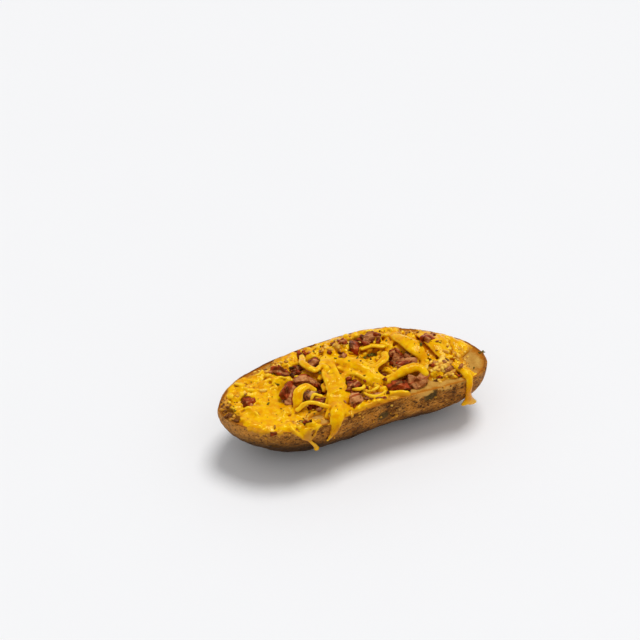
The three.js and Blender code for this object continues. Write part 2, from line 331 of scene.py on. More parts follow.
far_ring = both("MULTIPLY", spread(mark(shader, "edge"), 1.3, 0.5), far_side)
flesh_colour = layered(
    blend(spread(face_mottle, 0.35, 0.65), colour(190, 134, 54), colour(210, 160, 74)),
    (spread(mark(shader, "stain_and_shade"), 0.2, 0.8), (84, 42, 10)),  # fat, scorching and painted shade
    (spread(from_margin, 4.6, 1.4), (184, 108, 18)),  # the browned margin
    (far_ring, (112, 54, 14)),  # the dark rim, faint on the near side
)
mixed = blend(mark(shader, "flesh"), skin, flesh_colour)
dress(shader, mixed, (netting, 0.55), (freckle, 0.6), (fine, 0.15), rough=spread(fine, 0.3, 0.7, 0.5, 0.7))
potato.data.materials.append(skin_finish)
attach(potato, "root")
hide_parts("potato_half")

# ---- The cheese ----
# Orange-yellow cheese, grated over the hot half and melted into one soft sheet. It is thick over the middle,
# thin at both ends, shows the strands that it melted from, and three of them have run over the edge and down
# the skin.

# It is a field on a lattice: at each of the lattice's points the distance in mm to the cheese's skin, which
# is negative inside.
STEP = 0.44
LOW = np.array([-66.0, -31.6, 7.6])
COUNT = np.array([301, 138, 66])
axes = axis_x, axis_y, axis_z = [LOW[k] + STEP * np.arange(COUNT[k]) for k in range(3)]


def lattice_of(*lines):
    """The points of the lattice that has those lines along its axes."""
    return np.stack(np.meshgrid(*lines, indexing="ij"), -1)


def block(start, stop):
    """The part of a lattice from one of its cells to another."""
    return tuple(slice(*ends) for ends in zip(start, stop))


plan = lattice_of(axis_x, axis_y, [0.0])[:, :, 0]
plan_x, plan_y = plan[..., 0], plan[..., 1]
rim_turns = np.arctan2(rim[:, 1], rim[:, 0])


def rim_reach(x, y):
    """The distance from the middle to the rim in a point's direction."""
    return np.interp(np.arctan2(y, x), rim_turns, rim_length, period=2 * np.pi)


def outness(x, y):
    """How far out a point of the face is: 0 in the middle and 1 on the rim."""
    return np.hypot(x, y) / rim_reach(x, y)


def face_at(x, y):
    """The height of the cut face at a point of it."""
    return FACE_HEIGHT - FACE_DISH * np.clip(1 - outness(x, y) ** 2, 0, 1)


def oval(x, y, at_x, at_y, wide, deep, turn=0.0):
    """How far out a point is in a turned oval: 0 in its middle and 1 on its outline."""
    c, s = math.cos(math.radians(turn)), math.sin(math.radians(turn))
    dx, dy = x - at_x, y - at_y
    return np.hypot((dx * c + dy * s) / wide, (dy * c - dx * s) / deep)


def within(x, y, *ovals, power=4):
    """1 inside any of the ovals and 0 outside, softly: the largest exp(-r^power), where r is as in oval()."""
    return np.max([np.exp(-oval(x, y, *one[:5]) ** power) for one in ovals], 0)


# Where the heap is thicker: x, y, half-length, half-width, turn, and mm more.
MOUNDS = [
    (-44, -10, 14, 10, 0, 0.5), (3, 0.2, 15, 8.6, -46, 2.7), (35.2, 7.8, 10.4, 7.4, -66, 2.2),
    (-9.4, -5, 4.4, 14, 14, 1.2), (3, 17.5, 6, 4.2, 0, 2.4), (20, 13, 6, 5, 10, 1.4), (-26, 9, 9, 7, 0, 0.9),
    (46.4, 0, 3.2, 11, 8, 1.3), (40, -11, 6.5, 6, 0, 1.3), (54, 4, 9, 9, 0, 0.7), (-7, -21, 9, 3, 8, 0.4),
    (22, -8, 14, 4, 3, 1.2), (-15, 4, 5, 5, 0, 1.0), (-28, -9, 6, 6, 0, 0.8),
]
# Where it lies low around bacon and crumbs: the same, with mm less.
HOLLOWS = [
    (-30.5, -1.2, 4.4, 7.5, -20, 2.2), (-27.8, 12.3, 5, 3.5, -30, 2.4), (-20.8, 11.8, 2.6, 2.6, 0, 5.0),
    (-14.6, 12.4, 3.2, 4, 0, 2.8), (-11.2, -1.4, 1.4, 3.4, 10, 4.0), (-17, -3.7, 5, 4, 0, 3.4),
    (-0.6, -9.6, 5.4, 3.8, 0, 4.6), (1.5, -17.6, 9.5, 3, 0, 1.8), (24.2, -15.2, 10, 3.8, 3, 3.0),
    (27, 1, 5.2, 5.2, 20, 3.6), (13.4, 19.8, 7, 3.6, 0, 2.6), (-11.8, 13.3, 4, 3.2, 0, 1.8),
    (-49.9, 0.4, 3.2, 2.6, 0, 1.8), (15, -4.4, 4.6, 2.3, -58, 5.0), (14.6, 8.8, 4.8, 1.8, 10, 2.6),
    (42.4, 10.5, 5, 2.6, -25, 2.0), (-15.3, 20.8, 3.6, 2.6, 0, 1.6), (-22, -12, 6, 3, -20, 3.0),
    (48.5, -18, 3, 2, 0, 2.0), (9, 11, 3, 1.6, -20, 1.8), (38.6, -16.8, 3, 2, 0, 1.6),
    (39.6, -5.4, 3.2, 1.2, -60, 2.6),
]
# Where it has melted smooth: x, y, half-length, half-width, turn.
CALM = [
    (-45, -11, 12, 9, 0), (3, 0.2, 14, 8, -46), (35.2, 7.8, 9, 6, -66), (-10.5, -9, 3.8, 16, 14),
    (54, 4, 6, 8, 10),
]
# Where there is none: the same.
BARE = [
    (62.4, -12.8, 8, 9, 14), (29, -21.3, 14.5, 3.9, 1), (-23.4, -21, 3.6, 2.2, 10),
    (-20.8, -24.6, 3.2, 2.4, 0), (-37, 20.6, 10, 3.2, 17), (46, -22.5, 3.6, 3, 0), (-21.3, 12.6, 1.5, 1.4, 0),
    (-67, 0, 4.4, 8, 0), (38, 19.5, 5, 1.6, -26),
]

# Under the hollows the flesh has taken up fat and gone brown, plus painted shade; the left end is scorched.
potato_x, potato_y = potato_points[:, :2].T
scorched = within(potato_x, potato_y, (-66, -4, 10, 14)) * (0.75 + 0.7 * octaves(potato_points, 3.5, 75, 3))
carry(potato.data, "stain_and_shade", np.maximum(within(potato_x, potato_y, *HOLLOWS), scorched))

# How thick the sheet is, in mm: creased all over, in long folds where it has melted smooth, and quieter on
# the left. Mounds, hollows and small pits follow.
face = face_at(plan_x, plan_y)
calm = within(plan_x, plan_y, *CALM)
creased = np.abs(octaves(plan, 5.2, 101, 1)) + 0.6 * np.abs(octaves(plan, 2.6, 111, 2))
across_folds = plan @ np.array([[0.77, 0.25, 0], [0.64, -0.3, 0], [0, 0, 1]])
folds = np.abs(octaves(across_folds, 4.4, 115, 2)) - 0.25
quieter = np.where(plan_x > -15, 0, 0.45)
thick = 1.35 + 0.42 * octaves(plan, 10, 105, 2) + (1.5 - 0.9 * calm - quieter) * (creased - 0.35)
thick += (0.9 - 1.3 * quieter) * calm * folds
for mound in MOUNDS:
    thick += mound[5] * within(plan_x, plan_y, mound, power=3)
for low_place in HOLLOWS:
    thick -= low_place[5] * within(plan_x, plan_y, low_place)
PITS = 70
draw = np.random.default_rng(5)
for _ in range(PITS):
    x, y, size = draw.uniform(-60, 58), draw.uniform(-26, 26), draw.uniform(0.7, 1.6)
    pit = (x, y, size * 1.5, size, draw.uniform(0, 180))
    thick -= 1.5 * size * (1 - calm) * within(plan_x, plan_y, pit)

# How far each point lies inside the sheet's ragged outline, in mm.
from_rim = (1 - outness(plan_x, plan_y)) * rim_reach(plan_x, plan_y) * 0.9
inset = from_rim - 0.5 + 0.35 * ease(-plan_x, 15, 30) * ease(-plan_y, -2, 8) + 0.7 * ease(plan_y, 5, 15)
inset += 1.5 * octaves(plan, 6, 121, 3) + 0.6 * octaves(plan, 2.2, 125, 2)
inset = np.minimum(inset, from_rim + 0.05)
ragged = 1.3 * octaves(plan, 4.5, 131, 3) + 0.7 * octaves(plan, 1.7, 135, 2)
for spot in BARE:
    inset = np.minimum(inset, (oval(plan_x, plan_y, *spot) - 1) * min(spot[2:4]) + ragged)
margin_share = 0.28 + 0.25 * ease(plan_y, -5, 10)
thick *= margin_share + (1 - margin_share) * ease(inset, -0.3, 4)
thick = np.log1p(np.exp(3 * (thick - 0.1))) / 3 - 0.15  # levels off softly, just under the flesh


def soft_max(a, b, k):
    """The larger of two, with the corner between them rounded over k."""
    h = np.maximum(k - np.abs(a - b), 0)
    return np.maximum(a, b) + h * h / (4 * k)


UNDER_FACE, EDGE_ROUND = 0.7, 0.6
sheet_top = face + thick
slope_x, slope_y = np.gradient(sheet_top, STEP)
steep = np.sqrt(1 + np.minimum(slope_x**2 + slope_y**2, 4))
cheese = soft_max((axis_z - sheet_top[..., None]) / steep[..., None], -inset[..., None], EDGE_ROUND)
cheese = np.maximum(cheese, (face - UNDER_FACE)[..., None] - axis_z)


def through(points, count):
    """Points along an open curve through the given ones, by cubic()."""
    p = np.concatenate([[2 * points[0] - points[1]], points, [2 * points[-1] - points[-2]]])
    u = np.linspace(0, len(points) - 1 - 1e-6, count)
    i = np.floor(u).astype(int)
    return cubic(*(p[i + k] for k in range(4)), (u - i)[:, None])


def cells_round(points, margin):
    """The first and the last lattice cells of the box round some points, with that margin in mm."""
    low = ((points.min(0) - margin - LOW) / STEP).astype(int)
    high = ((points.max(0) + margin - LOW) / STEP).astype(int) + 2
    return np.maximum(low, 0), np.minimum(high, COUNT)


FAR_OFF = 9.0
CORE_HEIGHT = 12


def lay_strand(line, flat, melt):
    """Joins a strand to the field: its line is points of x, y, z and half-width. Between each two it is the
    distance to a round cone, made that flat along the way out from the potato's core. The whole is blended
    with what is there over that many mm."""
    margin = line[:, 3].max() + melt + 0.5
    start, stop = cells_round(line[:, :3], margin)
    if (stop <= start).any():
        return
    strand = np.full(stop - start, FAR_OFF)
    for a, b in zip(line[:-1], line[1:]):
        low, high = cells_round(np.array([a[:3], b[:3]]), margin)
        if (high <= low).any():
            continue
        p = lattice_of(*(axis[l:h] for axis, l, h in zip(axes, low, high)))
        along = b[:3] - a[:3]
        t = np.clip((p - a[:3]) @ along / max(along @ along, 1e-9), 0, 1)
        gap = p - a[:3] - t[..., None] * along
        faces_to = np.array([0, a[1] * 0.6, a[2] - CORE_HEIGHT])
        faces_to /= np.linalg.norm(faces_to)
        far = np.sqrt((gap**2).sum(-1) + (gap @ faces_to) ** 2 * (1 / flat**2 - 1))
        own = block(low - start, high - start)
        strand[own] = np.minimum(strand[own], (far - (a[3] + t * (b[3] - a[3]))) * (0.5 + 0.5 * flat))
    here = block(start, stop)
    cheese[here] = -soft_max(-cheese[here], -strand, melt)


def on_plan(values, x, y, nearest=False):
    """The value of an array over the plan at a point: from the lattice line before it along each axis, or
    from the nearest one."""
    i, j = (((np.asarray(v) - low) / STEP + 0.5 * nearest).astype(int) for v, low in zip((x, y), LOW))
    return values[np.clip(i, 0, COUNT[0] - 1), np.clip(j, 0, COUNT[1] - 1)]


sheet = face + np.where(inset > 0, thick, 0)

# The strands that keep their own shape: how flat, how far melted into the rest, and the points that each one
# passes through, as x, y, z and half-width.
STRANDS = [
    (0.6, 0.6, [[-37.5, -21.5, 26.6, 1.4], [-36.6, -26.4, 26.4, 1.2], [-33.9, -28.3, 24, 0.9],
        [-30.6, -28.5, 20.8, 0.85], [-28.4, -28.2, 17.4, 0.8], [-26.6, -27, 14, 1.0],
        [-25.9, -26.4, 12, 1.35], [-25.8, -26.1, 11.4, 1.1]]),
    (0.5, 0.8, [[-27, -23.5, 26.4, 1.0], [-25.6, -27.2, 26, 0.8], [-27.4, -28.4, 23, 0.6],
        [-29.6, -28.6, 20.8, 0.7]]),
    (0.4, 1.2, [[-33, -24.5, 26.2, 1.0], [-32, -27.7, 25.6, 0.9], [-30.6, -28.2, 23, 0.7],
        [-30, -28.4, 21, 0.5]]),
    (0.4, 1.2, [[-29.5, -24.5, 26.2, 0.9], [-29.6, -27.8, 25.4, 0.7], [-30, -28.2, 23.2, 0.6]]),
    (0.22, 1.6, [[-7, 13, 28.4, 2.2], [-7.8, 5, 29.2, 3.4], [-8.6, -4, 29.1, 4.6], [-9.6, -12, 28.5, 4.9],
        [-12.2, -18, 27.6, 4.4], [-15.4, -24.5, 26.6, 3.3]]),
    (0.6, 1.0, [[-6, 8, 29.6, 1.1], [-6, 0, 30.2, 1.3], [-7.4, -8, 29.8, 1.3], [-9.6, -15, 29, 1.0]]),
    (0.6, 0.9, [[-9.6, 9, 29.4, 1.2], [-11.6, 0, 30.1, 1.5], [-12.6, -9, 29.8, 1.5],
        [-15.6, -18, 28.6, 1.2]]),
    (0.42, 0.8, [[-13.4, -21, 28.0, 3.6], [-16, -26.2, 27.4, 3.2], [-17.4, -28.4, 24.2, 2.3],
        [-19.2, -28.3, 19.8, 1.35], [-20.8, -27.2, 15.8, 0.6]]),
    (0.55, 0.7, [[46, -9, 27.6, 1.5], [50.2, -16.6, 27.4, 1.8], [51.8, -21.9, 26.6, 1.9],
        [51.0, -24.5, 23, 1.6], [51.2, -23.9, 17, 1.6], [52.2, -22.6, 12.6, 1.8], [53.6, -21.4, 9.8, 1.5]]),
    (0.7, 1.4, [[51.2, -22.6, 19, 1.2], [52, -21.4, 14.5, 1.5], [53.2, -20.2, 11.2, 1.5],
        [53.8, -19.6, 10, 1.0]]),
    (0.6, 0.9, [[51.2, -23.2, 13.4, 1.2], [50.2, -22.6, 11.4, 1.4], [49.4, -22.2, 10.6, 1.0]]),
    (0.6, 0.9, [[52.4, -22.6, 12.6, 1.3], [54.4, -22, 10.4, 1.4], [55.6, -22, 9.8, 0.9]]),
    (0.5, 0.6, [[-29.6, -13.4, 26.8, 2.4], [-29.2, -11, 29.4, 2.3], [-28, -8.6, 31.2, 2.3],
        [-25.6, -6.8, 32, 2.1], [-22.4, -5.8, 31.6, 1.8], [-19.6, -6.8, 29.4, 1.3]]),
    (0.6, 0.5, [[-31, -15.4, 28.2, 1.1], [-25.5, -14.6, 30, 1.1], [-19.5, -18.2, 29.6, 1.0],
        [-15, -20.6, 28, 0.9]]),
    (0.6, 0.4, [[-16.2, 18, 28.2, 1.3], [-18.2, 11.4, 30.2, 1.7], [-17, 7, 30.6, 1.8],
        [-14.3, 4.6, 30.2, 1.8], [-11.3, 5.8, 30.2, 1.7], [-9.8, 3.8, 30.4, 1.6], [-12, 0.4, 29, 1.1]]),
    (0.4, 2.6, [[-3, 11.5, 27.6, 2.4], [2.6, 6.6, 28.6, 3.2], [7.4, 1.2, 28.8, 3.6], [10.4, -4, 28.2, 3.0],
        [11.4, -8.6, 27.2, 2.0]]),
    (0.5, 1.1, [[1.9, 7.4, 28.8, 1.1], [6, 1.6, 29.7, 1.5], [11, -3.4, 29, 1.2]]),
    (0.5, 1.1, [[-4.3, -0.4, 28.2, 1.0], [1.9, -2.3, 28.9, 1.4], [6.4, -7.6, 28, 1.0]]),
    (0.6, 1.4, [[-12.4, 3.2, 28.2, 1.1], [-13.6, 0.6, 28.2, 1.4]]),
    (0.6, 1.4, [[-13.8, -5, 28, 1.2], [-14.6, -7.4, 28, 1.5]]),
    (0.6, 1.4, [[-15.6, -13, 27.6, 1.4], [-17, -15.4, 27.4, 1.3]]),
    (0.6, 1.4, [[-17.4, -20.6, 27, 1.2], [-19, -22.6, 26.8, 1.2]]),
    (0.6, 1.4, [[-3.8, -2, 28.2, 1.2], [-4.4, -5.2, 28, 1.3]]),
    (0.6, 1.4, [[-5.6, -13, 27.8, 1.3], [-6.4, -16.4, 27.6, 1.5]]),
    (0.6, 1.4, [[-9, -21, 27, 1.4], [-10.6, -23.6, 26.8, 1.2]]),
    (0.5, 1.4, [[11, -2, 28, 1.5], [15.5, -0.6, 29.1, 1.9], [19, 1.6, 29.1, 2.0], [20.6, 5.6, 28.4, 1.6]]),
    (0.55, 0.8, [[12.6, 13, 27.6, 1.2], [17, 12.4, 28.6, 1.6], [21.6, 10.4, 28.6, 1.4]]),
    (0.7, 0.5, [[15.8, -12.2, 27.6, 1.4], [19.2, -10.8, 28.6, 1.9], [23.4, -10, 29.4, 2.2],
        [28.8, -10, 29.8, 2.4], [32.2, -11.6, 29.4, 2.3], [33, -14.2, 28.5, 1.8]]),
    (0.34, 1.4, [[30.4, 16, 28, 2.4], [32.6, 9.4, 29.2, 3.8], [35, 3, 28.9, 3.6], [37, -2.4, 27.4, 2.2]]),
    (0.6, 1.6, [[32.4, 14, 28.6, 1.0], [34.6, 8.4, 30.3, 1.3], [36.6, 3, 29.9, 1.2], [38, -1, 28.2, 0.8]]),
    (0.5, 1.0, [[49.4, 9, 27.8, 1.1], [50.4, 3, 28.6, 1.5], [50.8, -2, 28, 1.2]]),
    (0.34, 1.2, [[42.6, 12, 27.6, 2.4], [44.4, 6, 29, 3.3], [45.4, 0, 28.8, 3.2], [46.4, -6, 27.8, 2.4]]),
    (0.4, 0.6, [[-13, -22.4, 26.5, 1.1], [-6, -23.6, 26.4, 0.8], [1, -22.6, 26.4, 1.0], [8, -21, 26.6, 0.8],
        [14, -19, 26.6, 1.1]]),
    (0.4, 0.6, [[12, -19.4, 26.5, 0.9], [16.6, -20, 26.6, 1.5], [20, -21.8, 26.4, 1.7],
        [21.4, -22.4, 26.2, 1.0]]),
    (0.6, 0.3, [[-2.4, -12.2, 28.4, 0.7], [-0.4, -14.6, 30.2, 0.85], [2.0, -14.2, 30.2, 0.85],
        [3.4, -12, 29, 0.7]]),
    (0.6, 0.3, [[3.6, -15.6, 28.2, 0.6], [5.2, -16.8, 29.4, 0.85], [8, -16.4, 29.6, 0.85],
        [9.6, -14.2, 28.6, 0.7]]),
    (0.6, 0.3, [[1.4, -15.2, 28, 0.6], [3.6, -18.8, 28.2, 0.7], [7.6, -19.6, 27.8, 0.7],
        [11.6, -17.8, 27.4, 0.6]]),
    (0.6, 0.3, [[-23, -11.8, 28.6, 0.7], [-20.6, -10.2, 29.8, 0.9], [-17.6, -11.8, 29.2, 0.8]]),
]
for k, (flat, melt, strand) in enumerate(STRANDS):
    line = through(np.array(strand, float), 6 * len(strand))
    line[:, 3] *= 1 + 0.2 * octaves(line[:, :3], 4.5, 201 + k, 2)
    line[:, :3] += 0.35 * np.stack([octaves(line[:, :3], 5, 231 + k + 40 * m, 2) for m in range(3)], -1)
    lay_strand(line, flat, melt)

# Where the sheet has crept over the near rim it ends in little tongues on the skin.
TONGUES_X, NEAR_RIM_Y = (-58, -55.5, -51, -43, -9), -23
draw = np.random.default_rng(15)
for x in TONGUES_X:
    at = rim[np.argmin(np.hypot(rim[:, 0] - x - draw.normal(0, 0.8), rim[:, 1] - NEAR_RIM_Y))]
    length, half, lean = draw.uniform(0, 1) ** 2 * 2.2, draw.uniform(0.5, 1.4), draw.normal(0, 0.5)
    root, tip = at * 0.95, at * 1.012 + [lean, 0]
    line = np.array([[*root, 0.3, half], [*at, 0, half], [*tip, -length, 0.6 * half]])
    lay_strand(line + [0, 0, FACE_HEIGHT, 0], 0.5, 1.2)

# The rest of the gratings: short wavy strands laid every way on the sheet, half melted into it.
GRATINGS, GRATING_POINTS = 330, 8
draw = np.random.default_rng(7)
for _ in range(GRATINGS):
    way, far, stays = draw.uniform(0, 2 * np.pi), draw.uniform(0, 1) ** 0.5, draw.uniform(0, 1)
    at = np.array([math.cos(way), math.sin(way)]) * rim_reach(math.cos(way), math.sin(way)) * far * 0.96
    heading, bend, length = draw.uniform(0, np.pi), draw.normal(0, 0.1), draw.uniform(4, 13)
    s_along = np.linspace(-0.5, 0.5, GRATING_POINTS) * length
    turn = heading + bend * s_along + 0.5 * np.sin(s_along * 0.9 + draw.uniform(0, 6))
    step_xy = np.stack([np.cos(turn), np.sin(turn)], -1) * length / (GRATING_POINTS - 1)
    xy = at + np.cumsum(step_xy, 0) - step_xy.sum(0) / 2
    half = draw.uniform(0.55, 1.25) * (1 - 0.5 * (2 * np.abs(s_along) / length) ** 3)
    smooth_here = within(*at, *CALM)
    z = on_plan(sheet, *xy.T) + draw.uniform(-0.5, 0.45) + 0.3 * np.sin(s_along + draw.uniform(0, 6))
    keep = outness(*xy.T) < np.where(xy[:, 1] < 0, 0.93, 0.96)
    keep &= np.min([oval(*xy.T, *spot) for spot in BARE], 0) >= 1.05
    if keep.sum() > 3 and stays > 0.93 * smooth_here:
        lay_strand(np.column_stack([xy, z, half])[keep], 0.65, 0.7 + 0.5 * smooth_here)

# Crumbs of cheese that have softened but not run: x, y, how far they spread each way, and how many.
CURDS = [
    (41, -12, 5, 5, 50), (44, -17, 4, 2, 12), (50, -3, 3, 8, 12), (8, 19, 12, 4, 26), (27, 1, 6, 5, 18),
    (17, 8, 6, 5, 12), (-16, 14, 6, 5, 12), (-33, 14, 10, 4, 14), (-56, 4, 5, 7, 14), (0, -13, 8, 4, 12),
    (-21, -12, 6, 5, 10), (-30, -24, 8, 2, 6), (0, -21, 12, 1.2, 8),
]
draw = np.random.default_rng(9)
for x, y, wide, deep, many in CURDS:
    for _ in range(many):
        at = np.array([x + wide * draw.normal(0, 0.55), y + deep * draw.normal(0, 0.55)])
        size, shift = draw.uniform(0.6, 1.5), draw.uniform(-0.9, 0.9, 2)
        if outness(*at) < 0.96 and min(oval(*at, *spot) for spot in BARE) > 0.9:
            z = float(on_plan(sheet, *at)) + draw.uniform(-0.1, 0.5)
            lay_strand(np.array([[*at, z, size], [*(at + shift), z, 0.8 * size]]), 0.8, 0.45)

# The whole skin of it is a little lumpy: less so where it has melted smooth, more so down the broad strand
# left of the middle.
near = np.abs(cheese) < 1.2
near_points = lattice_of(*axes)[near]
broad = within(plan_x, plan_y, (-10.5, -8, 5.5, 18, 14))
broad_here = np.broadcast_to(broad[..., None], cheese.shape)[near]
lumpy_here = np.broadcast_to((1 - 0.6 * calm + 1.2 * broad)[..., None], cheese.shape)[near]
cheese[near] += 0.2 * octaves(near_points, 3.1, 301, 2) + 0.5 * broad_here * octaves(near_points, 2.7, 331, 1)
cheese[near] += lumpy_here * (0.09 * uneven(near_points, 1.5, 311) + 0.03 * uneven(near_points, 0.85, 321))


def skin_of(field):
    """The surface where a field on a lattice is zero, in cells, once the lattice's outer layers are set
    outside. Each cell that it crosses gets one point, at the mean of its crossings on the cell's edges, and
    each lattice edge that it crosses gets one four-sided face."""
    field[[0, -1]] = field[:, [0, -1]] = field[:, :, [0, -1]] = 1
    inside = field < 0
    corners, one_on = [np.array(c) for c in np.ndindex(2, 2, 2)], np.eye(3, dtype=int)
    size = np.array(field.shape) - 1
    held = sum(inside[block(c, c + size)].astype(np.int8) for c in corners)
    cells = np.argwhere((held > 0) & (held < 8))
    number = np.full(size, -1)
    number[tuple(cells.T)] = np.arange(len(cells))
    total, hits = np.zeros((len(cells), 3)), np.zeros(len(cells))
    for axis in range(3):
        for c in corners:
            if c[axis]:
                continue
            a, b = field[tuple((cells + c).T)], field[tuple((cells + c + one_on[axis]).T)]
            hit = (a < 0) != (b < 0)
            t = np.where(hit, a / np.where(hit, a - b, 1), 0)
            total += hit[:, None] * (c + t[:, None] * one_on[axis])
            hits += hit
    faces = []
    for axis in range(3):
        one, two = [one_on[k] for k in range(3) if k != axis]
        low, high = [slice(1, -1)] * 3, [slice(1, -1)] * 3
        low[axis], high[axis] = slice(0, -1), slice(1, None)
        low_in, high_in = inside[tuple(low)], inside[tuple(high)]
        for starts_in in (False, True):
            at = np.argwhere((low_in != high_in) & (low_in == starts_in)) + 1 - one_on[axis]
            ring = [number[tuple((at - back).T)] for back in (0 * one, one, one + two, two)]
            quads = np.stack(ring, -1)
            faces.append(quads if starts_in == (axis != 1) else quads[:, ::-1])
    return cells + total / hits[:, None], np.concatenate(faces)


cells, cheese_faces = skin_of(cheese)
cheese_points = LOW + STEP * cells


def blurred(array, reach):
    """A running mean over that many cells each way, along each axis in turn."""
    width = 2 * reach + 1
    for axis in range(3):
        pad = [(0, 0)] * 3
        pad[axis] = (reach + 1, reach)
        run = np.moveaxis(np.cumsum(np.pad(array, pad, mode="edge"), axis=axis, dtype=np.float32), axis, 0)
        array = np.moveaxis((run[width:] - run[:-width]) / width, 0, axis)
    return array


def sampled(array, at):
    """The values of a lattice array at points given in cells, blended between the eight corners around
    each."""
    i = np.clip(np.floor(at).astype(int), 0, np.array(array.shape) - 2)
    t = at - i
    return sum(np.prod(np.where(c, t, 1 - t), axis=1) * array[tuple((i + c).T)] for c in np.ndindex(2, 2, 2))


WAYS, STEEP_WAY, LOW_WAY = 12, 60, 25
NEAR_CELLS, FAR_CELLS = 3, 13


def enclosed(at):
    """The share of twelve ways up and out from each point, given in cells, every other one steep, that meet
    cheese within 6 mm."""
    far, met = np.arange(NEAR_CELLS, FAR_CELLS + 1)[:, None, None], 0.0
    for k in range(WAYS):
        way, rise = k * 2 * np.pi / WAYS, math.radians(LOW_WAY if k % 2 else STEEP_WAY)
        step = np.array([math.cos(way) * math.cos(rise), math.sin(way) * math.cos(rise), math.sin(rise)])
        i = np.clip(np.rint(at + far * step).astype(int), 0, COUNT - 1)
        met = met + (cheese[tuple(np.moveaxis(i, -1, 0))] < 0).any(0) / WAYS
    return met


# What its points carry for the material: hollow and nook, how much cheese is round them within 3 mm and 1 mm;
# closed_in, how far other strands shut them in; over, their height over the flesh; sunk, down in a low place;
# level, how level they lie; crust, the scorched left end; film, the thin web between the first drip's
# strands; fringe, the outer edge of the sheet. The drips, inside SPILLS, are neither thin nor fringe.
# Painted shade comes from hollow, nook, closed_in, level and sunk; a painted highlight on crests from nook.
SPILLS = [(-30, -27, 6.5, 5, 0), (-16, -26, 7, 6, 0), (51.5, -23, 6, 7, 0)]
THICK_ENOUGH, UNDERSIDE = 3, -2
cheese_x, cheese_y, cheese_z = cheese_points.T
filled = np.clip(0.5 - cheese / STEP, 0, 1).astype(np.float32)
hollow = sampled(blurred(blurred(filled, 3), 3), cells)
nook = sampled(blurred(blurred(filled, 1), 1), cells)
closed_in = enclosed(cells) * ease(cheese_z, 11, 15)
over = cheese_z - face_at(cheese_x, cheese_y)
sunk = within(cheese_x, cheese_y, *(spot for spot in HOLLOWS if spot[5] > 2.5)) * (1 - ease(over, 1.6, 2.6))
slopes = [sampled(slope, cells) for slope in np.gradient(cheese)]
levelness = slopes[2] / np.maximum(np.linalg.norm(slopes, axis=0), 1e-9)
crust = within(cheese_x, cheese_y, (-64, -8, 9, 14))
film = within(cheese_x, cheese_z, (-30, 23.2, 3, 3.2), power=3) * ease(-cheese_y, 24, 27)
spilt = within(cheese_x, cheese_y, *SPILLS)
fringe = 1 - ease(inset[tuple(np.rint(cells[:, :2]).astype(int).T)], 0, 2.8)
fringe *= (1 - ease(over, 1.2, 2)) * (1 - spilt)
over = np.minimum(over, THICK_ENOUGH) * (1 - spilt) + THICK_ENOUGH * spilt
over[cheese_z - face_at(cheese_x, cheese_y) < UNDERSIDE] = THICK_ENOUGH
melted = put_mesh(
    "Melted_cheese", cheese_points, cheese_faces, hollow=hollow, nook=nook, over=over, sunk=sunk, crust=crust,
    level=levelness, film=film, fringe=fringe, closed_in=closed_in)

cheese_finish, shader, place = finish_of("Melted cheese", 0.18, (0.8, 1, 0.06), **{
    "Coat Weight": 0.06, "Coat Roughness": 0.08,
    "Subsurface Weight": 0.1, "Subsurface Scale": 0.001, "Subsurface Radius": (1.2, 0.7, 0.12)})
along_x, _, height = node(shader.id_data, "SeparateXYZ", {0: place}).outputs  # in metres
# Painted shade: a warmer tint down the right-hand drip, which hangs in shade.
drip_shade_tint = both("MULTIPLY", spread(along_x, 0.044, 0.047), spread(height, 0.0265, 0.0245))
drip_shade_tint = both("MULTIPLY", drip_shade_tint, spread(height, 0.0105, 0.0145, 0.1, 0.5))
toasted = both("ADD", mark(shader, "crust"), grain(place, 3, 5, 0.6))
margin = both("ADD", mark(shader, "fringe"), grain(place, 2.4, 4, 0.6))
thinness = both("ADD", mark(shader, "over"), grain(place, 1.6, 4))
tone = layered(
    blend(spread(grain(place, 3.4, 5, 0.6), 0.34, 0.62), colour(237, 157, 0), colour(250, 191, 0)),
    (spread(grain(place, 8, 4, 0.6), 0.46, 0.64, 0, 0.34), (216, 138, 0)),  # darker blotches
    (spread(grain(place, 1.7, 4, 0.6), 0.6, 0.72, 0, 0.7), (255, 208, 34)),  # pale specks
    (spread(mark(shader, "hollow"), 0.5, 0.74), (200, 104, 0)),  # painted shade deep among the strands
    (spread(mark(shader, "nook"), 0.508, 0.64, 0, 0.9), (156, 72, 0)),  # painted shade in the creases
    (spread(mark(shader, "nook"), 0.47, 0.38, 0, 0.85), (255, 206, 40)),  # painted highlight on the crests
    (spread(mark(shader, "level"), 0.7, 0, 0, 0.7), (255, 183, 0)),  # painted shade tint on the steep sides
    (spread(mark(shader, "closed_in"), 0.14, 0.6, 0, 0.8), (190, 98, 0)),  # painted shade under the arches
    (drip_shade_tint, (244, 150, 0)),  # painted shade tint down the right-hand drip
    (spread(mark(shader, "sunk"), 0.3, 0.9, 0, 0.9), (138, 74, 12)),  # fat, with painted shade, in low places
    (spread(toasted, 1.0, 1.26, 0, 0.92), (112, 54, 12)),  # the scorched end
    (spread(mark(shader, "film"), 0.2, 0.8, 0, 0.8), (204, 136, 44)),  # the web in the first drip
    (spread(margin, 0.75, 1.35, 0, 0.8), (206, 134, 26)),  # the fringe of the sheet
    (spread(thinness, 0.9, 0.55, 0, 0.9), (202, 138, 36)),  # thin enough to show the flesh
)
pores = grain(place, 0.8, 3, 0.55)
dress(shader, tone, (pores, 0.02), (grain(place, 2.2, 2), 0.16), rough=spread(pores, 0.3, 0.7, 0.1, 0.18))
melted.data.materials.append(cheese_finish)
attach(melted, "root")
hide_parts("melted_cheese")

# ---- The bacon ----
# Streaky bacon, fried crisp and chopped, then strewn over the half before the cheese. Each piece is lean that
# has gone dark red to brown, with seams of paler fat along it, and it has curled as it fried and shines with
# its fat.

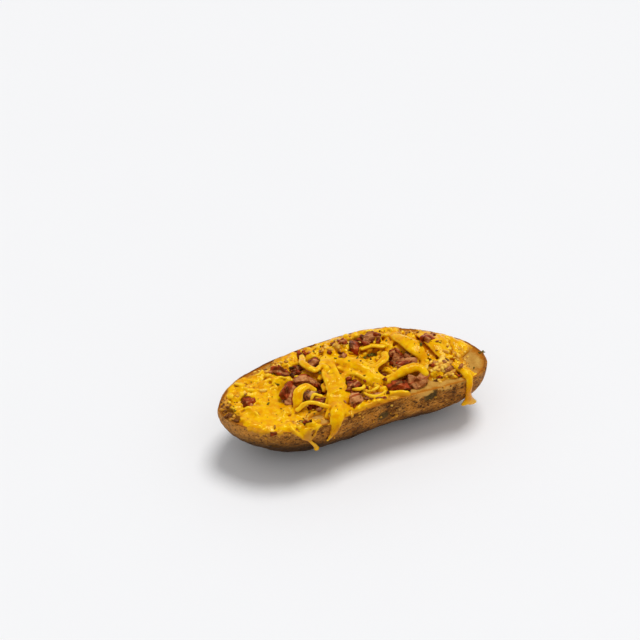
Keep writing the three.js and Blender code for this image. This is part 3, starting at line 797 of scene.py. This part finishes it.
# Each large piece's length, width and thickness, its turn about Z, its tilt over its long side, its bend, how
# much of it is fat, and the percent of it that has sunk into the sheet. Its place is its node's.
SLABS = [
    ((16.5, 8.6, 2.6), 58, 20, 1.4, 0.12, 16), ((15, 6.6, 2.0), -24, -20, 1.6, 0.6, 16),
    ((9, 5, 2.2), -35, 12, 0.7, 0.3, 16), ((9.5, 5.5, 2.4), 24, -14, 0.9, 0.3, 16),
    ((8.5, 6, 2.2), -14, 16, 0.8, 0.2, 16), ((8.5, 4, 1.8), 56, 30, 0.5, 0.75, 16),
    ((9.5, 6, 3), 34, 10, 1, 0.1, 7), ((9, 5.6, 1.8), 14, 18, 0.6, 0.95, 7),
    ((7.5, 3.8, 1.8), 6, 14, 0.5, 0.7, 16), ((9.5, 6, 2.6), 6, 20, 0.8, -0.15, 10),
    ((10.5, 7.2, 2.6), 16, 22, 0.9, 1.0, 10), ((9, 6.5, 2.8), -34, 8, 1.1, 0.4, 16),
    ((10, 4.4, 2.2), -30, -16, 1, 0.5, 16), ((9, 6.4, 2.6), 66, 12, 0.9, -0.1, 16),
    ((7.5, 5.6, 2.2), 18, -10, 0.7, 1.1, 16),
]
BACON_CELL, BACON_MARGIN, BACON_BLOCKS = 0.27, 1.6, 5


def turned_by(points, turn, tilt):
    """Points tilted about X and then turned about Z, in degrees."""
    c, s = math.cos(math.radians(tilt)), math.sin(math.radians(tilt))
    points = points @ np.array([[1, 0, 0], [0, c, s], [0, -s, c]])
    c, s = math.cos(math.radians(turn)), math.sin(math.radians(turn))
    return points @ np.array([[c, s, 0], [-s, c, 0], [0, 0, 1]])


def chunk(size, bend, seed):
    """A chopped piece of a rasher, as the skin of a field on a fine lattice of its own: flat blocks that
    overlap at odd angles, bent over together, pushed in and out along the fibres and torn at the edges. Also
    returns how far along the layers of lean and fat each point is."""
    length, width, thickness = size
    noise = np.random.default_rng(seed)
    reach = np.array([length / 2, width / 2, thickness / 2 + abs(bend)]) + BACON_MARGIN
    p = lattice_of(*(np.arange(-r, r + BACON_CELL, BACON_CELL) for r in reach))
    q = p + 0.7 * np.stack([uneven(p + 9 * k, 3.4, 401 + seed + 30 * k) for k in range(3)], -1)
    q[..., 1] -= 0.13 * width * np.sin(4.4 * q[..., 0] / length + seed)
    q[..., 2] -= bend * (np.cos(3.6 * q[..., 0] / length + 0.4 * np.sin(seed)) - 0.5)
    field = np.full(p.shape[:-1], FAR_OFF)
    for _ in range(BACON_BLOCKS):
        at = noise.uniform(-1, 1, 3) * [0.27 * length, 0.2 * width, 0.16 * thickness]
        half = np.array(size) * noise.uniform([0.2, 0.22, 0.26], [0.32, 0.4, 0.46])
        gap = np.abs(turned_by(q - at, noise.uniform(-32, 32), noise.uniform(-24, 24))) - half
        flat_block = np.linalg.norm(np.maximum(gap, 0), axis=-1) + np.minimum(gap.max(-1), 0)
        field = -soft_max(-field, -flat_block, 0.3)
    grooves = np.abs(octaves(q * [0.3, 1, 1], 1.5, 441 + seed, 2))
    field += 0.26 * octaves(q, 2.6, 421 + seed, 2) + 0.34 * (0.2 - grooves) - 0.14
    skin_cells, faces = skin_of(field)
    points = skin_cells * BACON_CELL - reach
    layers = np.sin(points[:, 1] * 7.5 / width + 2.2 * uneven(points * [0.4, 1, 1], 3.5, 461 + seed) + seed)
    return points, faces, layers


bacon_finish, shader, place = finish_of("Fried bacon", 0.3, (1, 0.62, 0.16), **{
    "Subsurface Weight": 0.05, "Subsurface Scale": 0.001, "Subsurface Radius": (1.2, 0.4, 0.2)})
patches = grain(place, 3.2, 4, 0.55)
by_patch = spread(patches, 0.38, 0.62)
lean_colour = blend(by_patch, colour(92, 24, 0), colour(170, 62, 22))
fat_colour = blend(by_patch, colour(156, 84, 38), colour(206, 138, 84))
meat = layered(
    blend(spread(mark(shader, "fat"), 0.4, 0.62), lean_colour, fat_colour),
    (spread(mark(shader, "fat"), -0.2, -0.8), (58, 20, 2)),  # hardest fried lean; also painted shade in gaps
    (spread(mark(shader, "fat"), 1.6, 1.9), (214, 162, 108)),  # the one pale lump of fat
    (spread(grain(place, 2, 4, 0.6), 0.56, 0.72, 0, 0.85), (46, 12, 0)),  # spots that have caught
)
fibre = grain(place, 0.6, 4, 0.6)
dress(shader, meat, (fibre, 0.07), (patches, 0.2), rough=spread(fibre, 0.3, 0.7, 0.18, 0.34))

for k, (size, turn, tilt, bend, fatty, sunk_percent) in enumerate(SLABS):
    points, sides, layers = chunk(size, bend, k + 1)
    points = turned_by(points, turn, tilt)
    corners = np.array(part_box(f"bacon_{k + 1:02d}")) / MM
    points += corners.mean(0) - MIDDLE - (points.min(0) + points.max(0)) / 2
    points[:, 2] -= np.percentile(points[:, 2] - on_plan(sheet, *points[:, :2].T), sunk_percent)
    piece = put_mesh(f"Bacon_{k + 1:02d}", points, sides, fat=0.5 + 0.5 * layers + 0.9 * (fatty - 0.5))
    piece.data.materials.append(bacon_finish)
    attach(piece, "root")
    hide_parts(f"bacon_{k + 1:02d}")

# ---- The small bits ----
# The crumbs of the same bacon, lean and fat, with browned crumbs of potato and cheese among them. They lie in
# the hollows round the larger pieces and are strewn thinly over the rest.

# The height of the finished cheese at each point of the plan, or of the flesh where it is bare: the first
# open air above the inside of the sheet, so under an arch it is the sheet and not the arch.
inside_sheet = np.rint((np.maximum(sheet_top - 0.8, face - 0.2) - LOW[2]) / STEP).astype(int)
first_open = np.argmax((cheese > 0) & (np.arange(COUNT[2]) >= inside_sheet[..., None]), axis=2)
i, j = np.indices(first_open.shape)
below, open_air = cheese[i, j, first_open - 1], cheese[i, j, first_open]
surface = LOW[2] + STEP * (first_open - 1 + np.clip(below / np.minimum(below - open_air, -1e-6), 0, 1))
surface = np.maximum(surface, face)


def heaped(draw, x, y, wide, deep, many):
    """Points drawn round a middle, thinning out over those distances each way."""
    return x + draw.normal(0, 0.55, many) * wide, y + draw.normal(0, 0.55, many) * deep


def strewn(draw, long, low, high, many, out_to):
    """Points drawn evenly over a box round the face, and whether each lies on it, that far out or nearer."""
    px, py = draw.uniform(-long, long, many), draw.uniform(low, high, many)
    return px, py, outness(px, py) < out_to


def laid(px, py, sizes, rise):
    """A row of x, y, z and size for each bit, its middle that share of its size over what it lies on."""
    return np.column_stack([px, py, on_plan(surface, px, py, nearest=True) + rise * sizes, sizes])


def crumbs(places, seed, around=9, along=7):
    """Small knobbly pieces, one for each x, y, z and size: a boxy ring grid that is pushed in and out,
    squashed and turned at random."""
    noise = np.random.default_rng(seed)
    boxy = lambda wave: np.sign(wave) * np.abs(wave) ** 0.55
    t = np.linspace(0.06, 0.94, along)[:, None] * np.pi
    a = np.linspace(0, 2 * np.pi, around, endpoint=False)
    girth = np.sin(t) ** 0.5
    knob = np.stack([boxy(np.cos(t)) + a * 0, girth * boxy(np.cos(a)), girth * boxy(np.sin(a))], -1)
    pieces = []
    for k, (x, y, z, size) in enumerate(places):
        squash = np.array([1, noise.uniform(0.55, 0.9), noise.uniform(0.35, 0.7)]) * size / 2
        p = (knob * squash).reshape(-1, 3)
        p = p * (1 + 0.72 * octaves(p + k * 5.3, 0.45 * size, seed + 3, 2)[:, None])
        p = turned_by(p, noise.uniform(0, 360), noise.uniform(-60, 60)) + [x, y, z]
        points, *faces = closed_rows(p.reshape(knob.shape))
        pieces.append([points, *(corners[:, ::-1] + k * len(points) for corners in faces)])
    return [np.concatenate(parts) for parts in zip(*pieces)]


# Where they lie: x, y, how far they spread each way, how many, their size, and how much of them is fat.
# The near-black heaps at -20.8, 11.8 and -12.6, -2.5 fill a deep pit and a gap as painted shade.
HEAPS = [
    (-30, -3, 4, 5, 14, 2.6, 0.2), (-20, 11, 3, 3, 10, 2.4, 0.2), (-16, -3.5, 4, 3, 14, 2.6, 0.25),
    (-1, -9, 5, 4.5, 30, 2.8, -0.2), (24.8, 5.6, 1.8, 1.6, 12, 2.8, 0.1), (2, -19, 7, 2, 10, 2.0, 0.6),
    (24, -14, 8, 3, 18, 2.6, 0.3), (27, -0.5, 4.5, 4, 22, 3.4, 0.6), (42, -12, 5, 6, 12, 2.0, 0.8),
    (39.6, -17, 1.1, 0.6, 4, 2.6, 0.1), (-20.8, 11.8, 1.7, 1.5, 22, 2.2, -1),
    (-12.6, -2.5, 0.8, 2.6, 8, 1.6, -0.8), (-24, 8.5, 2.4, 1.4, 14, 2.2, -0.7),
    (-20.4, 4.4, 3.4, 1.0, 12, 2.0, -0.2), (-17, -4.5, 3, 2, 8, 1.8, -0.8),
    (15.2, -4.6, 1.4, 1.8, 8, 1.8, -0.6), (23, 1, 1.5, 2, 6, 1.8, -0.6), (14, 18.5, 6, 3.4, 24, 2.8, 0.3),
    (2, 10.5, 3, 2.5, 9, 2.4, 0.4), (-12, 13, 3.5, 3, 12, 2.4, 0.3), (-50, -2, 2.8, 1.8, 9, 3.4, 0.35),
    (44, 8, 5, 3, 12, 2.4, 0.5), (-15, 20.5, 3, 2, 9, 2.2, 0.2), (-21, -13.5, 4, 2.5, 9, 2.2, 0.2),
    (-28, 12.5, 4, 3, 10, 2.2, 0.3), (6, 19, 11, 3.4, 24, 2.0, 0.5), (47, -17, 2.5, 2, 6, 2.2, 0.25),
    (-45.6, -24.2, 0.5, 0.4, 2, 2.4, 0.1), (-30.9, -24.2, 1.4, 0.5, 5, 1.2, -0.3),
    (-28.4, -24.6, 1, 0.4, 4, 1.1, -0.3), (25.6, 6.4, 1.6, 1.4, 6, 3, 0.1), (24, -1.8, 2, 1.2, 9, 2.2, 0.8),
]
# Five that are larger, down among the strands, the last of them a pale lump of fat: x, y, the height of the
# middle over the sheet, size and fat.
LARGER = [
    (-22.4, -8.2, 1.4, 5.5, 1), (18.8, 21.4, 0.8, 6.5, 0.8), (15.6, 20.4, 0.8, 5, 0.5), (26, 2.6, 1, 6, 0.75),
    (-21.6, -8.0, 1.9, 6.2, 2.1),
]
draw = np.random.default_rng(11)
places, fatness = [], []
for x, y, wide, deep, many, size, fatty in HEAPS:
    px, py = heaped(draw, x, y, wide, deep, many)
    places += laid(px, py, size * draw.uniform(0.55, 1.35, many), 0.18).tolist()
    fatness += np.clip(fatty + draw.normal(0, 0.3, many), -1, 1).tolist()
px, py, keep = strewn(draw, long=60, low=-25, high=26, many=30, out_to=0.93)
places += laid(px, py, draw.uniform(0.5, 1.1, len(px)), 0.15)[keep].tolist()
fatness += draw.uniform(-0.8, 0.8, len(px))[keep].tolist()
for x, y, over_sheet, size, fatty in LARGER:
    places.append([x, y, float(on_plan(sheet, x, y)) + over_sheet, size])
    fatness.append(fatty)
points, sides, ends = crumbs(places, 21)
streaks = 0.5 * octaves(points * [1, 0.5, 1], 1.8, 71, 2)
bits = put_mesh(
    "Bacon_bits", points, sides, ends, fat=np.repeat(fatness, len(points) // len(places)) + streaks)
bits.data.materials.append(bacon_finish)
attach(bits, "root")

# Where the crumbs of cheese and potato lie, toasted pale to brown: x, y, spread each way, how many, size and
# toast.
GOLDEN = [
    (41, -11, 5, 5, 34, 3.6, 0.25), (44.5, -17, 3, 1.6, 10, 2.4, 0.4), (50, -6, 3, 7, 12, 2.4, 0.3),
    (27, 1, 5, 5, 22, 2.2, 0.6), (-61.5, -5, 2.8, 10, 54, 2.6, 0.85), (6, 18.5, 11, 3.4, 30, 2.6, 0.4),
    (-30, 17, 9, 3, 26, 2.0, 0.5), (0, -12, 7, 4, 22, 2.0, 0.4), (-21, -12, 6, 4, 18, 2.0, 0.4),
    (-50, 2, 5, 4, 14, 1.8, 0.5), (55, -8, 2.6, 9, 18, 1.3, 0.4), (-14, 13, 4, 4, 14, 2.0, 0.6),
    (-30, -22, 14, 2, 22, 1.4, 0.5), (40, 16, 8, 2, 18, 1.8, 0.5), (-40.6, 4, 0.6, 0.5, 3, 3.2, -0.2),
]
# Where a few have dropped on to the skin and stuck there: x, z, how far they spread and how many.
STUCK = [
    (14.5, 15.5, 2, 6), (7, 18.5, 2.5, 4), (32, 22, 3, 2), (-44, 24, 5, 4), (40, 24.5, 5, 4), (-8, 20, 14, 8),
]
draw = np.random.default_rng(13)
places, toast = [], []
for x, y, wide, deep, many, size, browned in GOLDEN:
    px, py = heaped(draw, x, y, wide, deep, many)
    sizes = size * draw.uniform(0.5, 1.3, many)
    keep = outness(px, py) < 0.975
    places += laid(px, py, sizes, -0.04)[keep].tolist()
    toast += (browned + draw.normal(0, 0.3, many))[keep].tolist()
near_skin = potato_points[: SKIN_RINGS * AROUND]
near_skin = near_skin[near_skin[:, 1] < -3]
for x, z, wide, many in STUCK:
    for _ in range(many):
        at_x, at_z = x + draw.normal(0, 0.6) * wide, z + draw.normal(0, 0.4) * wide
        nearest = near_skin[np.hypot(near_skin[:, 0] - at_x, near_skin[:, 2] - at_z).argmin()]
        places.append([*nearest, draw.uniform(0.7, 1.5)])
        toast.append(draw.uniform(0.35, 0.9))
points, sides, ends = crumbs(places, 27)
golden = put_mesh(
    "Golden_crumbs", points, sides, ends, toast=np.repeat(toast, len(points) // len(places)))
golden_finish, shader, place = finish_of("Toasted crumb", 0.25, (1, 0.8, 0.5), Roughness=0.35)
browning = both("ADD", mark(shader, "toast"), spread(grain(place, 1.4, 4), 0.3, 0.7, -0.3, 0.3))
crumb_tone = blend(spread(browning, 0, 0.6), colour(255, 208, 84), colour(220, 150, 40))
crumb_tone = blend(spread(browning, 0.6, 1.1), crumb_tone, colour(112, 60, 18))
dress(shader, crumb_tone, (grain(place, 0.7, 3), 0.08))
golden.data.materials.append(golden_finish)
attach(golden, "root")

# ---- The herbs and the pepper ----
# Dried parsley, gone dark green in the oven, and coarsely ground black pepper, both scattered by hand at the
# end.

# The larger flakes: x, y and size. Small ones are strewn round them, and the last stands out over the right
# end of the rim.
FLAKES = [
    (-33, 5.5, 2.6), (-41.6, -5.5, 1.8), (12.2, 9.8, 3.2), (14.5, 9.9, 3.0), (16.8, 9.2, 2.8),
    (15.6, 9.4, 2.4), (-15, -3, 3), (-13, -1, 2.4), (-12.6, 2.4, 2.4), (10, 16, 2.6), (38, 3, 2.4),
]
RIM_FLAKE, RIM_FLAKE_TURN = (64.6, -7.7, 3.4), (4, -8)
LEAF_SIDE = 7


def leaf(size, seed):
    """The points of a scrap of dried leaf: a square grid with a ragged outline, cupped and creased."""
    u, v = np.moveaxis(lattice_of(*[np.linspace(-1, 1, LEAF_SIDE)] * 2), -1, 0)
    r = 1 - 0.3 * np.maximum(np.abs(u), np.abs(v)) * np.abs(np.sin(2.5 * np.arctan2(v, u) + seed))
    x, y = u * r * size / 2, v * r * size * 0.32
    z = size * (0.1 * (u**2 - 0.6 * v**2) + 0.06 * np.sin(3 * u + seed) * np.cos(2 * v))
    return np.stack([x, y, z], -1).reshape(-1, 3)


draw = np.random.default_rng(17)
px, py, keep = strewn(draw, long=58, low=-24, high=26, many=70, out_to=0.95)
flakes = FLAKES + np.column_stack([px, py, draw.uniform(0.5, 1.5, len(px))])[keep].tolist()
turns = [(draw.uniform(0, 360), draw.uniform(-25, 25)) for _ in flakes] + [RIM_FLAKE_TURN]
corner = np.arange(LEAF_SIDE - 1)[:, None] * LEAF_SIDE + np.arange(LEAF_SIDE - 1)
squares = np.stack([corner, corner + LEAF_SIDE, corner + LEAF_SIDE + 1, corner + 1], -1).reshape(-1, 4)
leaf_points, leaf_faces = [], []
for k, ((x, y, size), (turn, tilt)) in enumerate(zip([*flakes, RIM_FLAKE], turns)):
    z = float(on_plan(surface, x, y, nearest=True)) + 0.3
    leaf_points.append(turned_by(leaf(size, k), turn, tilt) + [x, y, z])
    leaf_faces.append(squares + k * LEAF_SIDE**2)
herbs = put_mesh("Herb_flakes", np.concatenate(leaf_points), np.concatenate(leaf_faces))
solid = herbs.modifiers.new("Leaf thickness", "SOLIDIFY")
solid.thickness = 0.18 * MM
herb_finish, shader, place = finish_of("Dried herb", 0.08, Roughness=0.8)
leafy = blend(spread(grain(place, 1.2, 3), 0.35, 0.65), colour(72, 66, 14), colour(122, 108, 36))
dress(shader, leafy, (grain(place, 0.4, 2), 0.06))
herbs.data.materials.append(herb_finish)
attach(herbs, "root")

draw = np.random.default_rng(23)
px, py, keep = strewn(draw, long=63, low=-27, high=28, many=260, out_to=0.96)
specks = laid(px, py, draw.uniform(0.2, 0.55, len(px)), 0.12)[keep]
pepper = put_mesh("Pepper_specks", *crumbs(specks, 31, around=6, along=4))
pepper_finish, shader, place = finish_of("Black pepper", 0.3, Roughness=0.6)
dress(shader, blend(grain(place, 0.5, 2), colour(66, 36, 8), colour(120, 72, 20)))
pepper.data.materials.append(pepper_finish)
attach(pepper, "root")

# ---- The table, the light and the camera ----
# A plain, flat, nearly white table top, one wide soft lamp high over its back left corner, and white all
# round, as in a light tent.

TABLE_HALF = 4000
table_corners = np.array([[-1, -1, 0], [1, -1, 0], [1, 1, 0], [-1, 1, 0]]) * TABLE_HALF
table = put_mesh("Table_top", table_corners, np.array([[0, 1, 2, 3]]))
table_finish, shader, place = finish_of("Pale table", 0.2, Roughness=0.6)
dress(shader, blend(grain(place, 60, 2), colour(243, 243, 244), colour(244, 244, 245)))
table.data.materials.append(table_finish)

SUN_HEIGHT, SUN_FROM, SUN_WIDTH, SUN_POWER = 66, 133, 26, 1.76  # the angles are in degrees
TENT_POWER, TENT_COLOUR = 0.52, (0.985, 0.99, 1, 1)
sun = bpy.data.objects.new("Soft_key", bpy.data.lights.new("Soft_key", "SUN"))
sun.data.energy, sun.data.angle = SUN_POWER, math.radians(SUN_WIDTH)
sun.rotation_euler = (math.radians(90 - SUN_HEIGHT), 0, math.radians(SUN_FROM))
bpy.context.scene.collection.objects.link(sun)
world = bpy.data.worlds.new("White tent")
world.use_nodes = True
world.node_tree.nodes["Background"].inputs[0].default_value = TENT_COLOUR
world.node_tree.nodes["Background"].inputs[1].default_value = TENT_POWER
bpy.context.scene.world = world

# The camera looks from the front and a little to the left, 41 degrees down, through a long lens.
SENSOR_WIDTH, LENS = 36, 109.2
CAMERA_AT, CAMERA_TILT, CAMERA_TURN = (-0.25125, -0.61581, 0.63919), 49, -21  # in metres and degrees
camera = bpy.data.objects.new("Camera", bpy.data.cameras.new("Camera"))
bpy.context.scene.collection.objects.link(camera)
camera.data.sensor_width, camera.data.lens = SENSOR_WIDTH, LENS
camera.location = CAMERA_AT
camera.rotation_euler = (math.radians(CAMERA_TILT), 0, math.radians(CAMERA_TURN))
bpy.context.scene.camera = camera
bpy.context.scene.view_settings.view_transform = "Standard"
